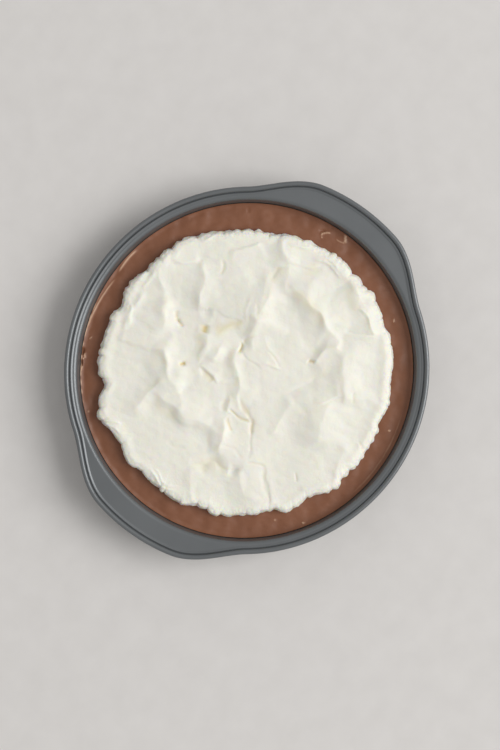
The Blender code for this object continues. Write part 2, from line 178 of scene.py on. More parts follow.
# Folds that the spatula raised: start, end, bow to the left, height of the sharp crest, and how far its
# two sides run out, left and right.
FOLDS = (
    # north
    (-0.0325, 0.038, -0.030, 0.074, -0.0015, 0.0034, 0.014, 0.024),
    (-0.054, 0.034, -0.053, 0.076, 0.004, 0.0014, 0.009, 0.008),
    (0.002, 0.016, 0.020, 0.066, -0.0005, 0.006, 0.040, 0.021),
    (0.004, 0.013, 0.011, 0.038, 0.000, 0.0012, 0.008, 0.018),
    (0.010, 0.046, 0.016, 0.070, 0.000, 0.0009, 0.012, 0.010),
    (0.0645, 0.016, 0.027, 0.063, -0.0005, 0.0062, 0.018, 0.022),
    (0.086, 0.015, 0.066, 0.061, -0.004, 0.0042, 0.025, 0.008),
    (0.026, 0.050, 0.027, 0.072, 0.000, 0.0018, 0.010, 0.018),
    (0.025, 0.066, 0.021, 0.089, -0.004, 0.0024, 0.014, 0.010),
    (0.042, 0.079, 0.072, 0.058, 0.0015, 0.0007, 0.005, 0.006),
    (-0.032, 0.0408, -0.020, 0.0408, 0.000, -0.0016, 0.0012, 0.007),
    # west
    (-0.0455, -0.016, -0.061, 0.020, -0.001, 0.0033, 0.014, 0.014),
    (-0.049, -0.009, -0.060, 0.014, -0.001, 0.0006, 0.004, 0.005),
    (-0.049, -0.004, -0.042, -0.029, 0.000, 0.0009, 0.009, 0.022),
    (-0.059, 0.024, -0.056, 0.051, -0.003, 0.0023, 0.018, 0.012),
    (-0.080, 0.025, -0.066, 0.054, 0.004, 0.0012, 0.005, 0.007),
    (-0.079, -0.032, -0.049, -0.003, 0.003, 0.0023, 0.014, 0.012),
    (-0.068, -0.012, -0.012, -0.045, -0.0018, 0.0029, 0.024, 0.0105),
    (-0.058, -0.023, -0.022, -0.046, -0.002, -0.001, 0.009, 0.014),
    (-0.050, -0.027, -0.026, -0.043, 0.000, 0.0009, 0.012, 0.009),
    (-0.079, 0.060, -0.050, 0.080, -0.001, 0.0014, 0.006, 0.006),
    # middle
    (-0.0305, 0.003, -0.0325, 0.031, -0.006, 0.0026, 0.009, 0.020),
    (-0.0295, 0.002, -0.0255, 0.018, 0.0015, 0.0008, 0.003, 0.004),
    (-0.021, 0.004, -0.018, 0.021, 0.001, 0.0016, 0.004, 0.009),
    (-0.010, -0.007, -0.008, 0.015, 0.000, 0.0008, 0.007, 0.009),
    (-0.0135, -0.031, -0.011, -0.015, 0.000, 0.0011, 0.004, 0.010),
    (-0.003, -0.025, -0.008, 0.016, 0.000, 0.0021, 0.0095, 0.014),
    (0.040, 0.000, 0.064, 0.022, 0.000, 0.0026, 0.009, 0.010),
    (0.026, -0.017, 0.049, -0.003, -0.0005, -0.0006, 0.003, 0.012),
    (0.018, 0.000, 0.012, 0.024, -0.001, 0.0006, 0.016, 0.005),
    # east
    (0.064, -0.026, 0.066, 0.022, 0.000, 0.0034, 0.026, 0.030),
    (0.046, -0.054, 0.056, -0.015, 0.001, 0.0029, 0.028, 0.032),
    (0.015, -0.046, 0.035, -0.019, 0.003, 0.0013, 0.009, 0.012),
    (0.060, -0.018, 0.088, -0.022, 0.001, 0.001, 0.008, 0.008),
    # south
    (-0.0195, -0.063, -0.013, -0.029, 0.0016, 0.0032, 0.009, 0.014),
    (-0.036, -0.091, -0.038, -0.065, 0.001, 0.0008, 0.008, 0.004),
    (0.010, -0.090, -0.0065, -0.064, 0.004, 0.0011, 0.018, 0.005),
    (-0.038, -0.0615, -0.001, -0.067, 0.000, -0.003, 0.007, 0.009),
    (-0.013, -0.073, -0.012, -0.058, 0.000, 0.0018, 0.024, 0.006),
    (0.058, -0.072, 0.068, -0.048, 0.000, 0.001, 0.008, 0.010),
)

# Ledges where one stroke lies on another: start, end, bow to the left, rise on the left, the width of the
# ledge's face, and how far the rise runs out behind it.
LEDGES = (
    (-0.002, 0.031, -0.021, 0.041, 0.0005, -0.0006, 0.0015, 0.007),
    (0.050, 0.068, 0.022, 0.0705, 0.000, -0.0009, 0.0022, 0.006),
    (0.066, 0.023, 0.087, 0.023, 0.0006, -0.0012, 0.0015, 0.006),
    (-0.090, 0.024, -0.056, 0.012, -0.0016, 0.0013, 0.0035, 0.009),
    (0.012, 0.0855, -0.011, 0.0795, -0.0006, 0.0012, 0.0025, 0.008),
    (-0.054, 0.0725, -0.030, 0.0715, 0.000, 0.0012, 0.0025, 0.007),
    (0.047, -0.023, 0.063, -0.017, 0.0008, 0.0008, 0.0018, 0.007),
    (0.0145, -0.091, 0.0115, -0.063, 0.0006, -0.0007, 0.0018, 0.006),
    (0.000, -0.062, 0.002, -0.030, -0.004, -0.00045, 0.0026, 0.007),
    (-0.005, 0.015, 0.009, 0.001, 0.0008, 0.0005, 0.0016, 0.006),
    (-0.031, 0.0016, -0.0216, -0.010, 0.0005, 0.0011, 0.0017, 0.005),
)

# Painted warm shade on the cream where its folds and slits lie in shade: start, end, bow to the left, half
# width and share.
PAINTED_SHADES = (
    (0.053, 0.027, 0.031, 0.056, -0.001, 0.0045, 0.34),
    (0.041, 0.062, 0.045, 0.075, 0.0, 0.0040, 0.30),
    (0.075, 0.040, 0.066, 0.055, 0.0, 0.0045, 0.26),
    (0.016, 0.058, 0.024, 0.070, 0.0, 0.0045, 0.38),
    (-0.024, 0.0265, -0.001, 0.031, 0.0005, 0.0034, 0.56),
    (0.001, 0.023, 0.002, 0.043, 0.0, 0.0024, 0.16),
    (-0.031, 0.010, -0.032, 0.026, -0.001, 0.0035, 0.30),
    (-0.063, -0.019, -0.044, -0.033, -0.003, 0.0040, 0.28),
    (-0.036, -0.002, -0.029, -0.006, 0.0, 0.0035, 0.14),
    (-0.012, 0.000, -0.010, 0.014, 0.0, 0.0030, 0.28),
    (-0.006, -0.003, -0.008, -0.014, 0.0, 0.0025, 0.30),
    (-0.044, 0.002, -0.038, 0.006, 0.0, 0.0035, 0.30),
    (-0.048, 0.052, -0.045, 0.068, 0.0, 0.0050, 0.16),
    (-0.020, 0.040, -0.006, 0.060, 0.0, 0.0060, 0.12),
    (0.044, -0.006, 0.056, 0.004, 0.0, 0.0035, 0.22),
    (0.046, -0.030, 0.049, -0.018, 0.0, 0.0040, 0.20),
    (-0.040, -0.0625, -0.010, -0.065, 0.0, 0.0042, 0.34),
    (-0.062, 0.014, -0.058, 0.002, -0.001, 0.0035, 0.20),
    (-0.0284, 0.0245, -0.0270, 0.0305, 0.0, 0.0018, 1.0),
    (-0.0470, 0.0032, -0.0412, 0.0040, 0.0, 0.0015, 1.0),
    (0.0405, 0.0046, 0.0450, 0.0034, 0.0, 0.0015, 0.8),
    (-0.0132, -0.0325, -0.0108, -0.0405, 0.0, 0.0013, 0.65),
    (-0.0461, 0.0360, -0.0435, 0.0300, 0.0, 0.0011, 0.75),
    (0.0025, -0.0330, 0.0045, -0.0430, 0.0005, 0.0018, 0.60),
    (-0.0300, -0.0018, -0.0245, -0.0080, 0.0, 0.0022, 0.55),
)

# Narrow folds and slits: start, end, bow to the left, half width and height, which is below zero in a slit.
CREASES = (
    (-0.0175, 0.064, -0.0135, 0.077, 0.000, 0.0016, -0.0006),
    (-0.0465, 0.042, -0.045, 0.032, -0.0004, 0.0015, -0.0009),
    (-0.0463, 0.036, -0.0432, 0.029, 0.000, 0.0011, -0.0012),
    (-0.0468, 0.0034, -0.0412, 0.004, 0.000, 0.0017, -0.0011),
    (-0.0448, 0.0054, -0.043, 0.0016, 0.000, 0.001, -0.0007),
    (-0.0286, 0.024, -0.0268, 0.031, 0.000, 0.0018, -0.0011),
    (-0.0306, 0.0006, -0.024, -0.007, -0.0003, 0.002, -0.0006),
    (-0.0315, -0.0015, -0.026, -0.007, 0.000, 0.002, -0.0005),
    (-0.013, -0.0255, 0.002, -0.034, -0.0004, 0.001, -0.0012),
    (-0.0015, -0.017, 0.0025, -0.035, -0.0007, 0.0012, -0.00075),
    (-0.0155, -0.018, -0.015, -0.029, 0.000, 0.0014, -0.0005),
    (-0.0132, -0.033, -0.0106, -0.041, 0.000, 0.0013, -0.0006),
    (-0.0056, 0.011, -0.0038, 0.0185, 0.0002, 0.0012, -0.0015),
    (0.0404, 0.0049, 0.0452, 0.0032, 0.000, 0.0018, -0.0011),
    (0.0175, 0.060, 0.022, 0.070, 0.0003, 0.0014, -0.0004),
    (-0.054, -0.046, -0.038, -0.0545, -0.0015, 0.001, -0.0004),
    (0.0105, -0.064, 0.0135, -0.090, -0.0006, 0.0011, -0.00025),
    (-0.001, -0.0605, 0.0125, -0.065, 0.000, 0.001, -0.0006),
    (0.001, -0.031, -0.001, -0.061, 0.004, 0.0013, -0.00012),
    (0.0015, -0.031, 0.0045, -0.044, 0.001, 0.002, -0.00075),
    (-0.019, -0.051, -0.002, -0.057, 0.0005, 0.0011, -0.00035),
    (-0.005, 0.015, 0.009, 0.001, 0.0008, 0.0009, -0.0003),
    (-0.004, 0.017, 0.009, 0.023, 0.0015, 0.0013, -0.0005),
    (0.014, 0.011, 0.0205, 0.003, 0.0003, 0.0008, -0.0005),
    (-0.001, 0.031, 0.006, 0.048, 0.0025, 0.0016, 0.0003),
    (0.009, 0.032, 0.0094, 0.046, -0.0005, 0.0012, -0.00035),
    (0.0764, -0.048, 0.0774, -0.058, 0.000, 0.0008, -0.0006),
    (0.0722, -0.014, 0.0726, -0.023, 0.000, 0.0009, -0.0005),
    (0.0318, -0.0665, 0.0323, -0.0735, 0.000, 0.0009, -0.0005),
    # raised
    (0.008, 0.0055, 0.021, 0.002, -0.0004, 0.0009, 0.0006),
    (-0.024, 0.0255, -0.002, 0.030, 0.000, 0.0018, 0.0005),
    # strokes round the rim
    (0.044, 0.076, 0.062, 0.063, 0.001, 0.0009, 0.0007),
    (0.051, 0.077, 0.061, 0.068, 0.0006, 0.0008, 0.0006),
    (0.070, 0.058, 0.084, 0.032, 0.0012, 0.0009, 0.0007),
    (0.075, 0.045, 0.083, 0.027, 0.0008, 0.0009, 0.0007),
    (-0.077, 0.055, -0.059, 0.073, 0.001, 0.0009, 0.0008),
    (-0.071, 0.054, -0.057, 0.067, 0.0006, 0.0009, 0.0008),
    (-0.062, 0.074, -0.046, 0.086, 0.0008, 0.0008, 0.0008),
    (-0.078, 0.046, -0.077, 0.029, 0.0005, 0.0009, 0.0007),
    (-0.099, -0.031, -0.084, -0.038, 0.0005, 0.0009, 0.0009),
    (-0.096, -0.035, -0.085, -0.043, -0.0005, 0.0008, 0.0007),
    (-0.066, -0.068, -0.047, -0.083, -0.001, 0.0009, 0.0008),
    (-0.062, -0.067, -0.045, -0.080, -0.0008, 0.0008, 0.0006),
    (-0.031, 0.0885, -0.007, 0.090, 0.0003, 0.0008, 0.0008),
    (0.028, 0.086, 0.046, 0.083, 0.0003, 0.0008, 0.0007),
)

# Looks. A noise is its scale to the metre, its detail and its roughness; a tone is a place and a colour.
STEEL_SPECKLE = (1400.0, 2.0, 0.5)
STEEL_CLOUD = (22.0, 3.0, 0.5)
STEEL_TONES = ((0.3, (0.154, 0.163, 0.168)), (0.7, (0.178, 0.187, 0.192)))
STEEL_METALLIC = 0.4
STEEL_ROUGHNESS = (0.30, 0.40)
STEEL_BUMP = 0.00004
CHOCOLATE_CLOUD = (70.0, 5.0, 0.65)
CHOCOLATE_GRAIN = (900.0, 3.0, 0.6)
CHOCOLATE_CLOUD_SHARE = 0.4     # how much the clouds change the tone beside a full scrape
# The chocolate's tones, up to the pale tan of the scrapes and of the painted highlight.
CHOCOLATE_AND_HIGHLIGHT_TONES = (
    (0.10, (0.205, 0.076, 0.034)), (0.19, (0.232, 0.089, 0.041)),
    (0.30, (0.262, 0.104, 0.050)), (0.75, (0.60, 0.38, 0.25)),
)
CHOCOLATE_ROUGHNESS = (0.38, 0.55)
CREAM_GRAIN = (1100.0, 3.0, 0.6)
CREAM_SOFTNESS = (320.0, 3.0, 0.6)
# The cream's own colour, then the painted warm shade of its slits and shaded folds, deeper as the share
# rises.
CREAM_AND_SHADE_TONES = (
    (0.1, (0.902, 0.881, 0.788)), (0.6, (0.870, 0.805, 0.620)), (1.0, (0.78, 0.65, 0.34)),
)
CREAM_GLOSS = {"Roughness": 0.5, "Specular_IOR_Level": 0.3}
CREAM_SCATTER = {
    "Subsurface_Weight": 0.7, "Subsurface_Radius": (0.0034, 0.0027, 0.0016), "Subsurface_Scale": 1.0,
}
GRAIN_BUMP = 0.00006            # the rise of the food's finest grain, and of what lies under it
SOFT_BUMP = 0.00025
FLOOR_GRAIN = (60.0, 4.0, 0.5)
FLOOR_TONES = ((0.3, (0.70, 0.675, 0.65)), (0.7, (0.73, 0.705, 0.68)))
FLOOR_GLOSS = {"Roughness": 0.85, "Specular_IOR_Level": 0.2}

# The camera looks straight down, a little off the tin's middle, from a metre over the rim.
CAMERA_HEIGHT = FLANGE_HEIGHT + 1.0
CAMERA_ASIDE = (0.0022, -0.0031)
CAMERA_FIELD = 0.507            # the height of the picture at the rim
SENSOR = 36.0                   # its width, in millimetres

# The light is one broad soft panel at the picture's right.
PANEL_ELEVATION = radians(45.0)
PANEL_DISTANCE = 5.0
PANEL_SIZE = 3.4
PANEL_POWER = 181.0
SKY = (0.44, 0.44, 0.44)
FLOOR_SIZE = 30.0

# A seeded roughness: how many waves make it up, and the range of their lengths beside its size.
RIPPLE_WAVES = 10
RIPPLE_SIZES = (0.7, 1.5)


def smoothstep(x):
    x = np.clip(x, 0.0, 1.0)
    return x * x * (3.0 - 2.0 * x)


def smoothstep_slope(x):
    return 6.0 * x * (1.0 - x)


def in_row(x, y):
    """A place in the cream's own axes, which are also the camera's, in the model's axes."""
    c, s = cos(CREAM_TURN), sin(CREAM_TURN)
    return c * x + s * y, c * y - s * x


def in_plan(x, y):
    """A place in the model's axes, in the cream's own axes at the scale of its plan."""
    c, s = cos(CREAM_TURN), sin(CREAM_TURN)
    return (c * x - s * y) / PLAN_SCALE, (s * x + c * y) / PLAN_SCALE


def ripple(x, y, size, seed, waves=RIPPLE_WAVES):
    """An even, seeded roughness about one high, of bumps of a size."""
    draw = np.random.default_rng(seed)
    total = np.zeros_like(x)
    for _ in range(waves):
        heading, phase = draw.uniform(0.0, 2.0 * pi, 2)
        length = size * draw.uniform(*RIPPLE_SIZES)
        total += np.sin(2.0 * pi * (x * cos(heading) + y * sin(heading)) / length + phase)
    return total / np.sqrt(waves / 2.0)


# Bowed lines


def bowed(line):
    """Points along a chord bowed to its left."""
    x0, y0, x1, y1, bow = line[:5]
    along = np.linspace(0.0, 1.0, BOW_PIECES + 1)
    length = hypot(x1 - x0, y1 - y0)
    aside = 4.0 * bow * along * (1.0 - along) / length
    return x0 + (x1 - x0) * along - (y1 - y0) * aside, y0 + (y1 - y0) * along + (x1 - x0) * aside


def beside_line(x, y, line):
    """How far each point lies to the left of a bowed line, and how far along it, from 0 to 1."""
    line_x, line_y = bowed(line)
    distance = np.full(x.shape, FAR)
    place = np.zeros(x.shape)
    for k in range(BOW_PIECES):
        dx, dy = line_x[k + 1] - line_x[k], line_y[k + 1] - line_y[k]
        share = np.clip(((x - line_x[k]) * dx + (y - line_y[k]) * dy) / (dx * dx + dy * dy), 0.0, 1.0)
        off_x, off_y = x - line_x[k] - dx * share, y - line_y[k] - dy * share
        away = np.hypot(off_x, off_y)
        nearer = away < np.abs(distance)
        side = np.where(dx * off_y - dy * off_x < 0.0, -1.0, 1.0)
        distance = np.where(nearer, side * away, distance)
        place = np.where(nearer, (k + share) / BOW_PIECES, place)
    return distance, place


def faded_ends(place, share=END_SHARE):
    """One along a line, and down to nothing over a share of its length at each end."""
    return smoothstep(place / share) * smoothstep((1.0 - place) / share)


def stroke(x, y, line):
    """Across a narrow stroke, from 0 beside it up to its last number along its middle."""
    half_width, full = line[5:]
    aside, place = beside_line(x, y, line)
    return full * (faded_ends(place) * np.exp(-(aside / half_width) ** 2))


# Node materials


class Nodes:
    """A small builder of a node material."""

    def __init__(self, name):
        self.material = bpy.data.materials.new(name)
        self.material.use_nodes = True
        self.tree = self.material.node_tree
        self.shader = self.tree.nodes["Principled BSDF"]

    def add(self, kind, settings=None, inputs=None):
        node = self.tree.nodes.new(kind)
        for key, value in (settings or {}).items():
            setattr(node, key, value)
        for key, value in (inputs or {}).items():
            if isinstance(value, bpy.types.NodeSocket):
                self.tree.links.new(value, node.inputs[key])
            else:
                node.inputs[key].default_value = value
        return node

    def set(self, **values):
        for key, value in values.items():
            socket = self.shader.inputs[key.replace("_", " ")]
            if isinstance(value, bpy.types.NodeSocket):
                self.tree.links.new(value, socket)
            else:
                socket.default_value = value

    def noise(self, scale, detail, roughness):
        inputs = {"Scale": scale, "Detail": detail, "Roughness": roughness}
        inputs["Vector"] = self.add("ShaderNodeTexCoord").outputs["Object"]
        return self.add("ShaderNodeTexNoise", inputs=inputs).outputs["Fac"]

    def attribute(self, name):
        return self.add("ShaderNodeAttribute", {"attribute_name": name}).outputs["Fac"]

    def ramp(self, factor, stops):
        node = self.add("ShaderNodeValToRGB", inputs={"Fac": factor})
        elements = node.color_ramp.elements
        while len(elements) < len(stops):
            elements.new(0.5)    # its place is set below
        for element, (place, colour) in zip(elements, stops):
            element.position = place
            element.color = (*colour, 1.0)
        return node.outputs["Color"]

    def spread(self, factor, low, high):
        inputs = {"Value": factor, "To Min": low, "To Max": high}
        return self.add("ShaderNodeMapRange", inputs=inputs).outputs["Result"]

    def bump(self, height, depth, after=None):
        inputs = {"Height": height, "Distance": depth}
        if after:
            inputs["Normal"] = after
        return self.add("ShaderNodeBump", inputs=inputs).outputs["Normal"]


def steel_material():
    made = Nodes("coated_steel")
    speckle = made.noise(*STEEL_SPECKLE)
    colour = made.ramp(made.noise(*STEEL_CLOUD), STEEL_TONES)
    made.set(Base_Color=colour, Metallic=STEEL_METALLIC, Roughness=made.spread(speckle, *STEEL_ROUGHNESS))
    made.set(Normal=made.bump(speckle, STEEL_BUMP))
    return made.material


def chocolate_material():
    made = Nodes("chocolate")
    cloud = made.noise(*CHOCOLATE_CLOUD)
    grain = made.noise(*CHOCOLATE_GRAIN)
    # The tone rises with the paler scrapes and with the painted edge highlight.
    inputs = {0: cloud, 1: CHOCOLATE_CLOUD_SHARE, 2: made.attribute("scrapes_and_highlight")}
    tone = made.add("ShaderNodeMath", {"operation": "MULTIPLY_ADD"}, inputs).outputs["Value"]
    colour = made.ramp(tone, CHOCOLATE_AND_HIGHLIGHT_TONES)
    made.set(Base_Color=colour, Roughness=made.spread(grain, *CHOCOLATE_ROUGHNESS))
    made.set(Normal=made.bump(grain, GRAIN_BUMP, after=made.bump(cloud, SOFT_BUMP)))
    return made.material


def cream_material():
    made = Nodes("whipped_cream")
    grain = made.noise(*CREAM_GRAIN)
    soft = made.noise(*CREAM_SOFTNESS)
    # Its colour turns warm and dark with the painted shade in slits and shaded folds.
    made.set(Base_Color=made.ramp(made.attribute("painted_shade"), CREAM_AND_SHADE_TONES), **CREAM_GLOSS, **CREAM_SCATTER)
    made.set(Normal=made.bump(grain, GRAIN_BUMP, after=made.bump(soft, SOFT_BUMP)))
    return made.material


def floor_material():
    made = Nodes("pale_floor")
    made.set(Base_Color=made.ramp(made.noise(*FLOOR_GRAIN), FLOOR_TONES), **FLOOR_GLOSS)
    return made.material


# Turned shapes


def bend(corner, radius, heading_in, heading_out):
    """The points and headings of the round bend that takes the place of a corner in a section."""
    turn = heading_out - heading_in
    side = 1.0 if turn > 0.0 else -1.0
    tangent = radius * tan(abs(turn) / 2.0)
    start = (corner[0] - tangent * cos(heading_in), corner[1] - tangent * sin(heading_in))
    centre = (start[0] - side * radius * sin(heading_in), start[1] + side * radius * cos(heading_in))
    points = []
    for k in range(BEND_POINTS + 1):
        heading = heading_in + turn * k / BEND_POINTS
        r = centre[0] + side * radius * sin(heading)
        z = centre[1] - side * radius * cos(heading)
        points.append((r, z, heading))
    return points


def sheet_line():
    """The middle of the tin's sheet from the axis out to the bead, as radius, height and heading."""
    floor = SHEET / 2.0
    slope = pi / 2.0 - WALL_LEAN
    floor_corner = (OPENING_RADIUS - (FLANGE_HEIGHT - floor) * tan(WALL_LEAN), floor)
    lip_corner = (OPENING_RADIUS, FLANGE_HEIGHT)
    line = [(0.0, floor, 0.0)]
    line += bend(floor_corner, FLOOR_BEND, 0.0, slope)
    line += bend(lip_corner, LIP_BEND, slope, 0.0)
    return line


def flange_line():
    """On from the lip: flat, then over the low ridge beside the bead."""
    lip_end = sheet_line()[-1][0]
    flat = np.linspace(lip_end, RIDGE_START, FLANGE_POINTS)[1:]
    line = [(r, FLANGE_HEIGHT, 0.0) for r in flat]
    for k in range(1, RIDGE_POINTS + 1):
        along = k / RIDGE_POINTS
        slope = RIDGE_RISE * smoothstep_slope(along) / RIDGE_WIDTH
        height = FLANGE_HEIGHT + RIDGE_RISE * float(smoothstep(along))
        line.append((RIDGE_START + RIDGE_WIDTH * along, height, float(np.arctan(slope))))
    return line


def beside(line, distance):
    """The line shifted to its left, which is up from the floor and in from the wall."""
    return [(r - sin(heading) * distance, z + cos(heading) * distance) for r, z, heading in line]


def bead_arc():
    """Round the outside of the bead, from where the flange's top meets it to where its underside does."""
    middle = (RIM_RADIUS - BEAD_RADIUS, FLANGE_HEIGHT + BEAD_RISE)
    first = pi - np.arcsin((SHEET / 2.0 - CREASE - BEAD_RISE) / BEAD_RADIUS)
    last = -pi + np.arcsin((SHEET / 2.0 + BEAD_RISE) / BEAD_RADIUS)
    turns = [first + (last - first) * k / (BEAD_POINTS - 1) for k in range(BEAD_POINTS)]
    return [(middle[0] + BEAD_RADIUS * cos(a), middle[1] + BEAD_RADIUS * sin(a)) for a in turns]


def new_object(name, mesh):
    made = bpy.data.objects.new(name, mesh)
    bpy.context.scene.collection.objects.link(made)
    return made


def turned(name, section, steps=TURN_STEPS):
    """A section turned about Z, given from the axis, down the outside and back to the axis."""
    mesh = bpy.data.meshes.new(name + "_section")
    edges = [(k, k + 1) for k in range(len(section) - 1)]
    mesh.from_pydata([(r, 0.0, z) for r, z in section], edges, [])
    outline = new_object(name + "_section", mesh)
    screw = outline.modifiers.new("turn", "SCREW")
    screw.axis = "Z"
    screw.angle = 2.0 * pi
    screw.steps = steps
    screw.render_steps = steps
    screw.use_merge_vertices = True
    screw.merge_threshold = MERGE
    screw.use_smooth_shade = True
    bpy.context.view_layer.update()
    evaluated = outline.evaluated_get(bpy.context.evaluated_depsgraph_get())
    solid = bpy.data.meshes.new_from_object(evaluated)
    solid.name = name
    bpy.data.objects.remove(outline, do_unlink=True)
    return new_object(name, solid)


def handle_reach(angle):
    """How far the rim stands out at an angle round the tin: most at the two handles."""
    from_handle = abs((angle + pi / 2.0) % pi - pi / 2.0)
    along = (from_handle - HANDLE_FLAT) / HANDLE_RAMP
    return HANDLE_REACH * (1.0 - float(smoothstep(along)))


def draw_out_handles(mesh):
    """Widen the flange into the two handles, with the bead carried along its edge."""
    inner = sheet_line()[-1][0]
    for vertex in mesh.vertices:
        x, y, z = vertex.co
        radius = hypot(x, y)
        share = min(max((radius - inner) / (RIDGE_START - inner), 0.0), 1.0)
        if share > 0.0:
            scale = 1.0 + share * handle_reach(np.arctan2(y, x)) / radius
            vertex.co = (x * scale, y * scale, z)


def make_oval(mesh):
    """Stretch along the handles and narrow across them."""
    for vertex in mesh.vertices:
        vertex.co.x *= 1.0 + OVAL
        vertex.co.y *= 1.0 - OVAL


def build_tin():
    line = sheet_line() + flange_line()
    top = beside(line, SHEET / 2.0)
    under = beside(line, -SHEET / 2.0)
    tin = turned("steel_tin", top + bead_arc() + under[::-1])
    draw_out_handles(tin.data)
    make_oval(tin.data)
    tin.data.set_sharp_from_angle(angle=TIN_SHARP)
    tin.data.materials.append(steel_material())
    return tin


# The filling


def wall_at(height):
    """The radius of the filling's side at a height on the tin's straight wall."""
    bottom, top = beside(sheet_line(), SHEET / 2.0 + GAP)[BEND_POINTS + 1:BEND_POINTS + 3]
    return bottom[0] + (top[0] - bottom[0]) * (height - bottom[1]) / (top[1] - bottom[1])


def painted_edge_highlight(angle, inside):
    """From 0 to 1 in the middle of the painted highlight along the filling's edge, at an angle and so far
    inside the edge.
    """
    middle, half, width = EDGE_HIGHLIGHT
    away = (angle - middle + pi) % (2.0 * pi) - pi
    return np.exp(-(away / half) ** EDGE_HIGHLIGHT_ENDS) * np.exp(-(inside / width) ** 2)


def highlight_patches(x, y):
    mean, swing, size, seed = EDGE_HIGHLIGHT_PATCHES
    return np.clip(mean + swing * ripple(x, y, size, seed), 0.0, 1.0)


def mark_filling(mesh, crest_radius):
    """Give the filling's surface its swells, scrapes and torn places. Paint the raised scrapes paler,
    partly their own colour and partly painted highlight, and paint a highlight on the edge that faces the
    light.
    """
    places = np.empty(len(mesh.vertices) * 3)
    mesh.vertices.foreach_get("co", places)
    places = places.reshape(-1, 3)
    x, y = in_plan(places[:, 0], places[:, 1])
    top = places[:, 2] > FILLING_LEVEL - GAP
    rise = sum(height * ripple(x, y, size, seed) for height, size, seed in SWELLS)
    marks = sum(stroke(x, y, mark) for mark in MARKS)
    places[:, 2] += np.where(top, rise + marks, 0.0)
    mesh.vertices.foreach_set("co", places.ravel())
    inside = crest_radius - np.hypot(places[:, 0], places[:, 1])
    # Paint a highlight in patches along the filling's edge where it faces the light.
    highlight_share = EDGE_HIGHLIGHT_SHARE * painted_edge_highlight(np.arctan2(y, x), inside) * highlight_patches(x, y)
    # Paler where the scrapes rise, partly painted highlight, and where the edge highlight is painted.
    pale = np.clip(np.maximum(marks / SCRAPE_FULL, highlight_share), 0.0, 1.0) * np.where(top, SCRAPE_AND_HIGHLIGHT_SHARE, 0.0)
    data = mesh.attributes.new("scrapes_and_highlight", "FLOAT", "POINT").data
    data.foreach_set("value", pale.astype(np.float32))


def build_filling():
    """The filling from the tin's floor to its level surface, which climbs a little at the wall."""
    side = beside(sheet_line(), SHEET / 2.0 + GAP)[:BEND_POINTS + 2]
    edge = wall_at(FILLING_LEVEL) - MENISCUS_WIDTH
    section = [(0.0, FILLING_LEVEL)]
    section += [(r, FILLING_LEVEL) for r in np.linspace(FILLING_SHOWS, edge, FILLING_RINGS + 1)]
    crest_radius = wall_at(FILLING_LEVEL + MENISCUS_RISE) - CREST_INSET
    for k in range(1, MENISCUS_POINTS + 1):
        share = k / MENISCUS_POINTS
        r = edge + (crest_radius - edge) * share
        section.append((r, FILLING_LEVEL + MENISCUS_RISE * share ** MENISCUS_CURVE))
    filling = turned("chocolate_body", section + side[::-1], FILLING_STEPS)
    mark_filling(filling.data, crest_radius)
    make_oval(filling.data)
    filling.data.set_sharp_from_angle(angle=FILLING_SHARP)
    filling.data.materials.append(chocolate_material())
    return filling


# The whipped cream


def scallops(angle):
    """Uneven rounded teeth round the edge, from 0 at their ends up to 1 in the middle of the tallest."""
    draw = np.random.default_rng(SCALLOP_SEED)
    ends = np.cumsum(draw.uniform(*SCALLOP_WIDTHS, SCALLOPS))
    ends *= 2.0 * pi / ends[-1]
    starts = np.concatenate(([0.0], ends[:-1]))
    heights = draw.uniform(*SCALLOP_HEIGHTS, SCALLOPS)
    around = np.mod(angle, 2.0 * pi)
    which = np.minimum(np.searchsorted(ends, around), SCALLOPS - 1)
    along = (around - starts[which]) / (ends[which] - starts[which])
    return heights[which] * np.sqrt(np.clip(4.0 * along * (1.0 - along), 0.0, 1.0))


def teeth(angle):
    """How far the teeth stand out past the mean outline."""
    return SCALLOP_REACH * (scallops(angle) - SCALLOP_MIDDLE)


def edge_radius(angle):
    """The cream's outline: nearly round, with lobes where the spatula left it and teeth all round."""
    radius = CREAM_RADIUS + CREAM_OVAL * np.cos(2.0 * (angle - CREAM_OVAL_TURN)) + teeth(angle)
    for middle, half, reach in LOBES:
        away = (angle - radians(middle) + pi) % (2.0 * pi) - pi
        radius = radius + reach * np.exp(-(away / radians(half)) ** 2)
    return radius


def fraying(angle):
    """How far the frayed edge stands out past the outline."""
    x, y = CREAM_RADIUS * np.cos(angle), CREAM_RADIUS * np.sin(angle)
    return sum(reach * ripple(x, y, length, seed) for reach, length, seed in FRAYS)


def side_lumps(angle, height):
    """How far the lumps on the spread's side stand out at a height."""
    x = CREAM_RADIUS * np.cos(angle) + LUMP_LEAN * height
    y = CREAM_RADIUS * np.sin(angle) - LUMP_LEAN * height
    return sum(rise * ripple(x, y, size, seed) for rise, size, seed in LUMPS) - LUMP_INSET


def end_share(fold):
    """Tall folds fade out over more of their length, so that their ends lie no steeper than their sides."""
    x0, y0, x1, y1, _, height = fold[:6]
    return min(max(abs(height) * END_RUN / hypot(x1 - x0, y1 - y0), END_SHARE), END_MOST)


def folded(x, y):
    """Heights of the folds, whose crests are sharp and whose sides flatten towards their feet."""
    total = np.zeros(x.shape)
    for fold in FOLDS:
        height, left, right = fold[5:]
        aside, place = beside_line(x, y, fold)
        foot = np.where(aside > 0.0, left, right)
        down = np.clip(1.0 - np.hypot(aside, CREST_ROUND) / foot, 0.0, 1.0)
        total += height * faded_ends(place, end_share(fold)) * down ** SIDE_CURVE
    return total


def stroked(x, y):
    """Heights that the ledges and creases add."""
    total = np.zeros(x.shape)
    for ledge in LEDGES:
        rise, face_width, run = ledge[5:]
        aside, place = beside_line(x, y, ledge)
        face = smoothstep(aside / face_width + 0.5)
        total += rise * faded_ends(place) * face * np.exp(-np.maximum(aside, 0.0) / run)
    for crease in CREASES:
        total += stroke(x, y, crease)
    return total


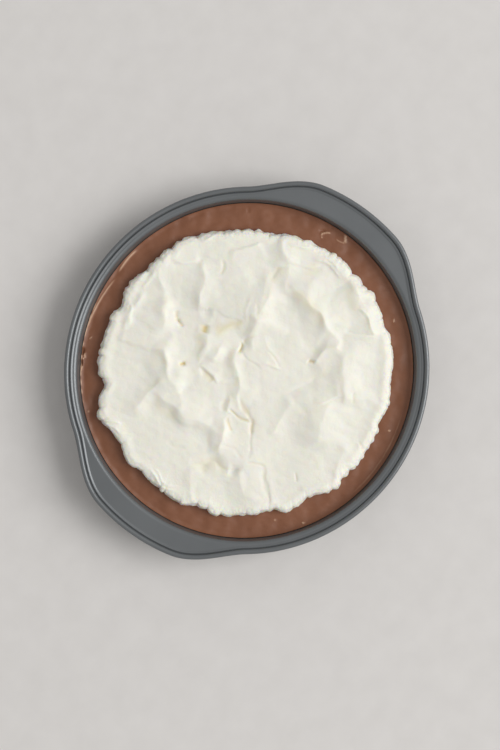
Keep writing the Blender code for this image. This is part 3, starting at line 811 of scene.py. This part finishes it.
def wandered(x, y):
    """Places shaken a little, so that no fold runs too even."""
    shaken_x, shaken_y = x, y
    for reach, length, seed in WANDER:
        shaken_x = shaken_x + reach * ripple(x, y, length, seed, WANDER_WAVES)
        shaken_y = shaken_y + reach * ripple(x, y, length, seed + 1, WANDER_WAVES)
    return shaken_x, shaken_y


def painted_slit_shade(x, y):
    """From 0 on the open top to 1 in the deepest slits and the shaded strokes: the share of painted warm
    shade in the cream's colour.
    """
    x, y = wandered(x, y)
    shade_share = np.zeros(x.shape)
    for *line, height in CREASES:
        share = min(max(-height / SLIT_SHADE_FULL, 0.0), 1.0)
        shade_share = np.maximum(shade_share, stroke(x, y, (*line, share)))
    for shade_stroke in PAINTED_SHADES:
        shade_share = np.maximum(shade_share, stroke(x, y, shade_stroke))
    return shade_share


def top_height(x, y):
    """The height of the cream's top over the filling."""
    out = np.hypot(x, y) / edge_radius(np.arctan2(y, x))
    inset = (1.0 - out) * CREAM_RADIUS
    shaken_x, shaken_y = wandered(x, y)
    z = CREAM_EDGE - FLOOR_DEPTH + CREAM_DOME * np.clip(1.0 - out * out, 0.0, 1.0)
    z += folded(shaken_x, shaken_y) + stroked(shaken_x, shaken_y)
    z += RIM_CREST_RISE * np.exp(-((inset - RIM_CREST) / RIM_CREST_WIDTH) ** 2)
    z -= SKIRT_DROP * np.clip(1.0 - inset / SKIRT_WIDTH, 0.0, 1.0) ** 2
    for rise, length, seed, band in ROUGHNESS:
        near_edge = smoothstep((band - inset) / (ROUGHNESS_FADE * band))
        z += rise * ripple(x, y, length, seed, ROUGHNESS_WAVES) * near_edge
    return z


def disc_grid():
    """A square grid drawn into a disc so that its rings become circles: share of the radius, and angle."""
    v, u = np.meshgrid(np.linspace(-1.0, 1.0, GRID), np.linspace(-1.0, 1.0, GRID), indexing="ij")
    wide = np.abs(u) > np.abs(v)
    safe_u = np.where(wide, u, 1.0)
    safe_v = np.where(wide | (v == 0.0), 1.0, v)
    radius = np.where(wide, u, v)
    angle = np.where(wide, pi / 4.0 * v / safe_u, pi / 2.0 - pi / 4.0 * u / safe_v)
    return np.abs(radius), np.where(radius < 0.0, angle + pi, angle)


def build_cream():
    """The spread of cream: its folded top, a rounded edge and a flat underside on the filling."""
    share, angle = disc_grid()
    ragged = teeth(angle) + fraying(angle)
    limit = edge_radius(angle) + fraying(angle) * share ** FRAY_FADE
    flat_end = limit - CREAM_ROUND
    round_share = np.clip((share - EDGE_SHARE) / (1.0 - EDGE_SHARE), 0.0, 1.0)
    radius = np.minimum(share / EDGE_SHARE, 1.0) * flat_end + CREAM_ROUND * np.sin(round_share * EDGE_TURN)
    down = 0.5 + 0.5 * np.cos(round_share * pi)
    z = top_height(radius * np.cos(angle), radius * np.sin(angle)) * down
    radius -= ragged * (1.0 - TEETH_LEFT) * smoothstep((round_share - TEETH_TURN) / (1.0 - TEETH_TURN))
    radius += side_lumps(angle, z) * np.sin(round_share * pi)
    x, y = radius * np.cos(angle), radius * np.sin(angle)
    shape = bmesh.new()
    bmesh.ops.create_grid(shape, x_segments=GRID - 1, y_segments=GRID - 1, size=1.0)
    shape.verts.ensure_lookup_table()
    base = FILLING_LEVEL + GAP
    row_x, row_y = in_row(x * PLAN_SCALE, y * PLAN_SCALE)
    for k, place in enumerate(zip(row_x.ravel(), row_y.ravel(), (base + z).ravel())):
        shape.verts[k].co = place
    bmesh.ops.edgeloop_fill(shape, edges=[edge for edge in shape.edges if edge.is_boundary])
    bmesh.ops.recalc_face_normals(shape, faces=shape.faces)
    mesh = bpy.data.meshes.new("cream_spread")
    shape.to_mesh(mesh)
    shape.free()
    mesh.shade_smooth()
    # The painted shade of the slits and shaded folds, kept as an attribute on the mesh.
    depth = mesh.attributes.new("painted_shade", "FLOAT", "POINT")
    depth.data.foreach_set("value", painted_slit_shade(x, y).astype(np.float32).ravel())
    mesh.materials.append(cream_material())
    return new_object("cream_spread", mesh)


# The room


def build_floor():
    mesh = bpy.data.meshes.new("floor")
    shape = bmesh.new()
    bmesh.ops.create_grid(shape, x_segments=1, y_segments=1, size=FLOOR_SIZE / 2.0)
    shape.to_mesh(mesh)
    shape.free()
    mesh.materials.append(floor_material())
    return new_object("floor", mesh)


def build_camera():
    data = bpy.data.cameras.new("camera")
    data.sensor_width = SENSOR
    data.lens = SENSOR * (CAMERA_HEIGHT - FLANGE_HEIGHT) / CAMERA_FIELD
    camera = new_object("camera", data)
    camera.location = (*in_row(*CAMERA_ASIDE), CAMERA_HEIGHT)
    camera.rotation_euler = (0.0, 0.0, -CREAM_TURN)
    bpy.context.scene.camera = camera


def build_light():
    data = bpy.data.lights.new("panel", "AREA")
    data.shape = "SQUARE"
    data.size = PANEL_SIZE
    data.energy = PANEL_POWER
    panel = new_object("panel", data)
    x, y = in_row(PANEL_DISTANCE * cos(PANEL_ELEVATION), 0.0)
    panel.location = (x, y, PANEL_DISTANCE * sin(PANEL_ELEVATION))
    panel.rotation_euler = Vector(panel.location).to_track_quat("Z", "Y").to_euler()
    world = bpy.data.worlds.new("sky")
    world.use_nodes = True
    world.node_tree.nodes["Background"].inputs["Color"].default_value = (*SKY, 1.0)
    bpy.context.scene.world = world


def dress(piece, node):
    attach(piece, "root")
    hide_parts(node)


build_camera()
build_light()
dress(build_tin(), "tin")
dress(build_filling(), "chocolate_filling")
dress(build_cream(), "whipped_cream")
build_floor()
bpy.context.scene.view_settings.view_transform = "Standard"
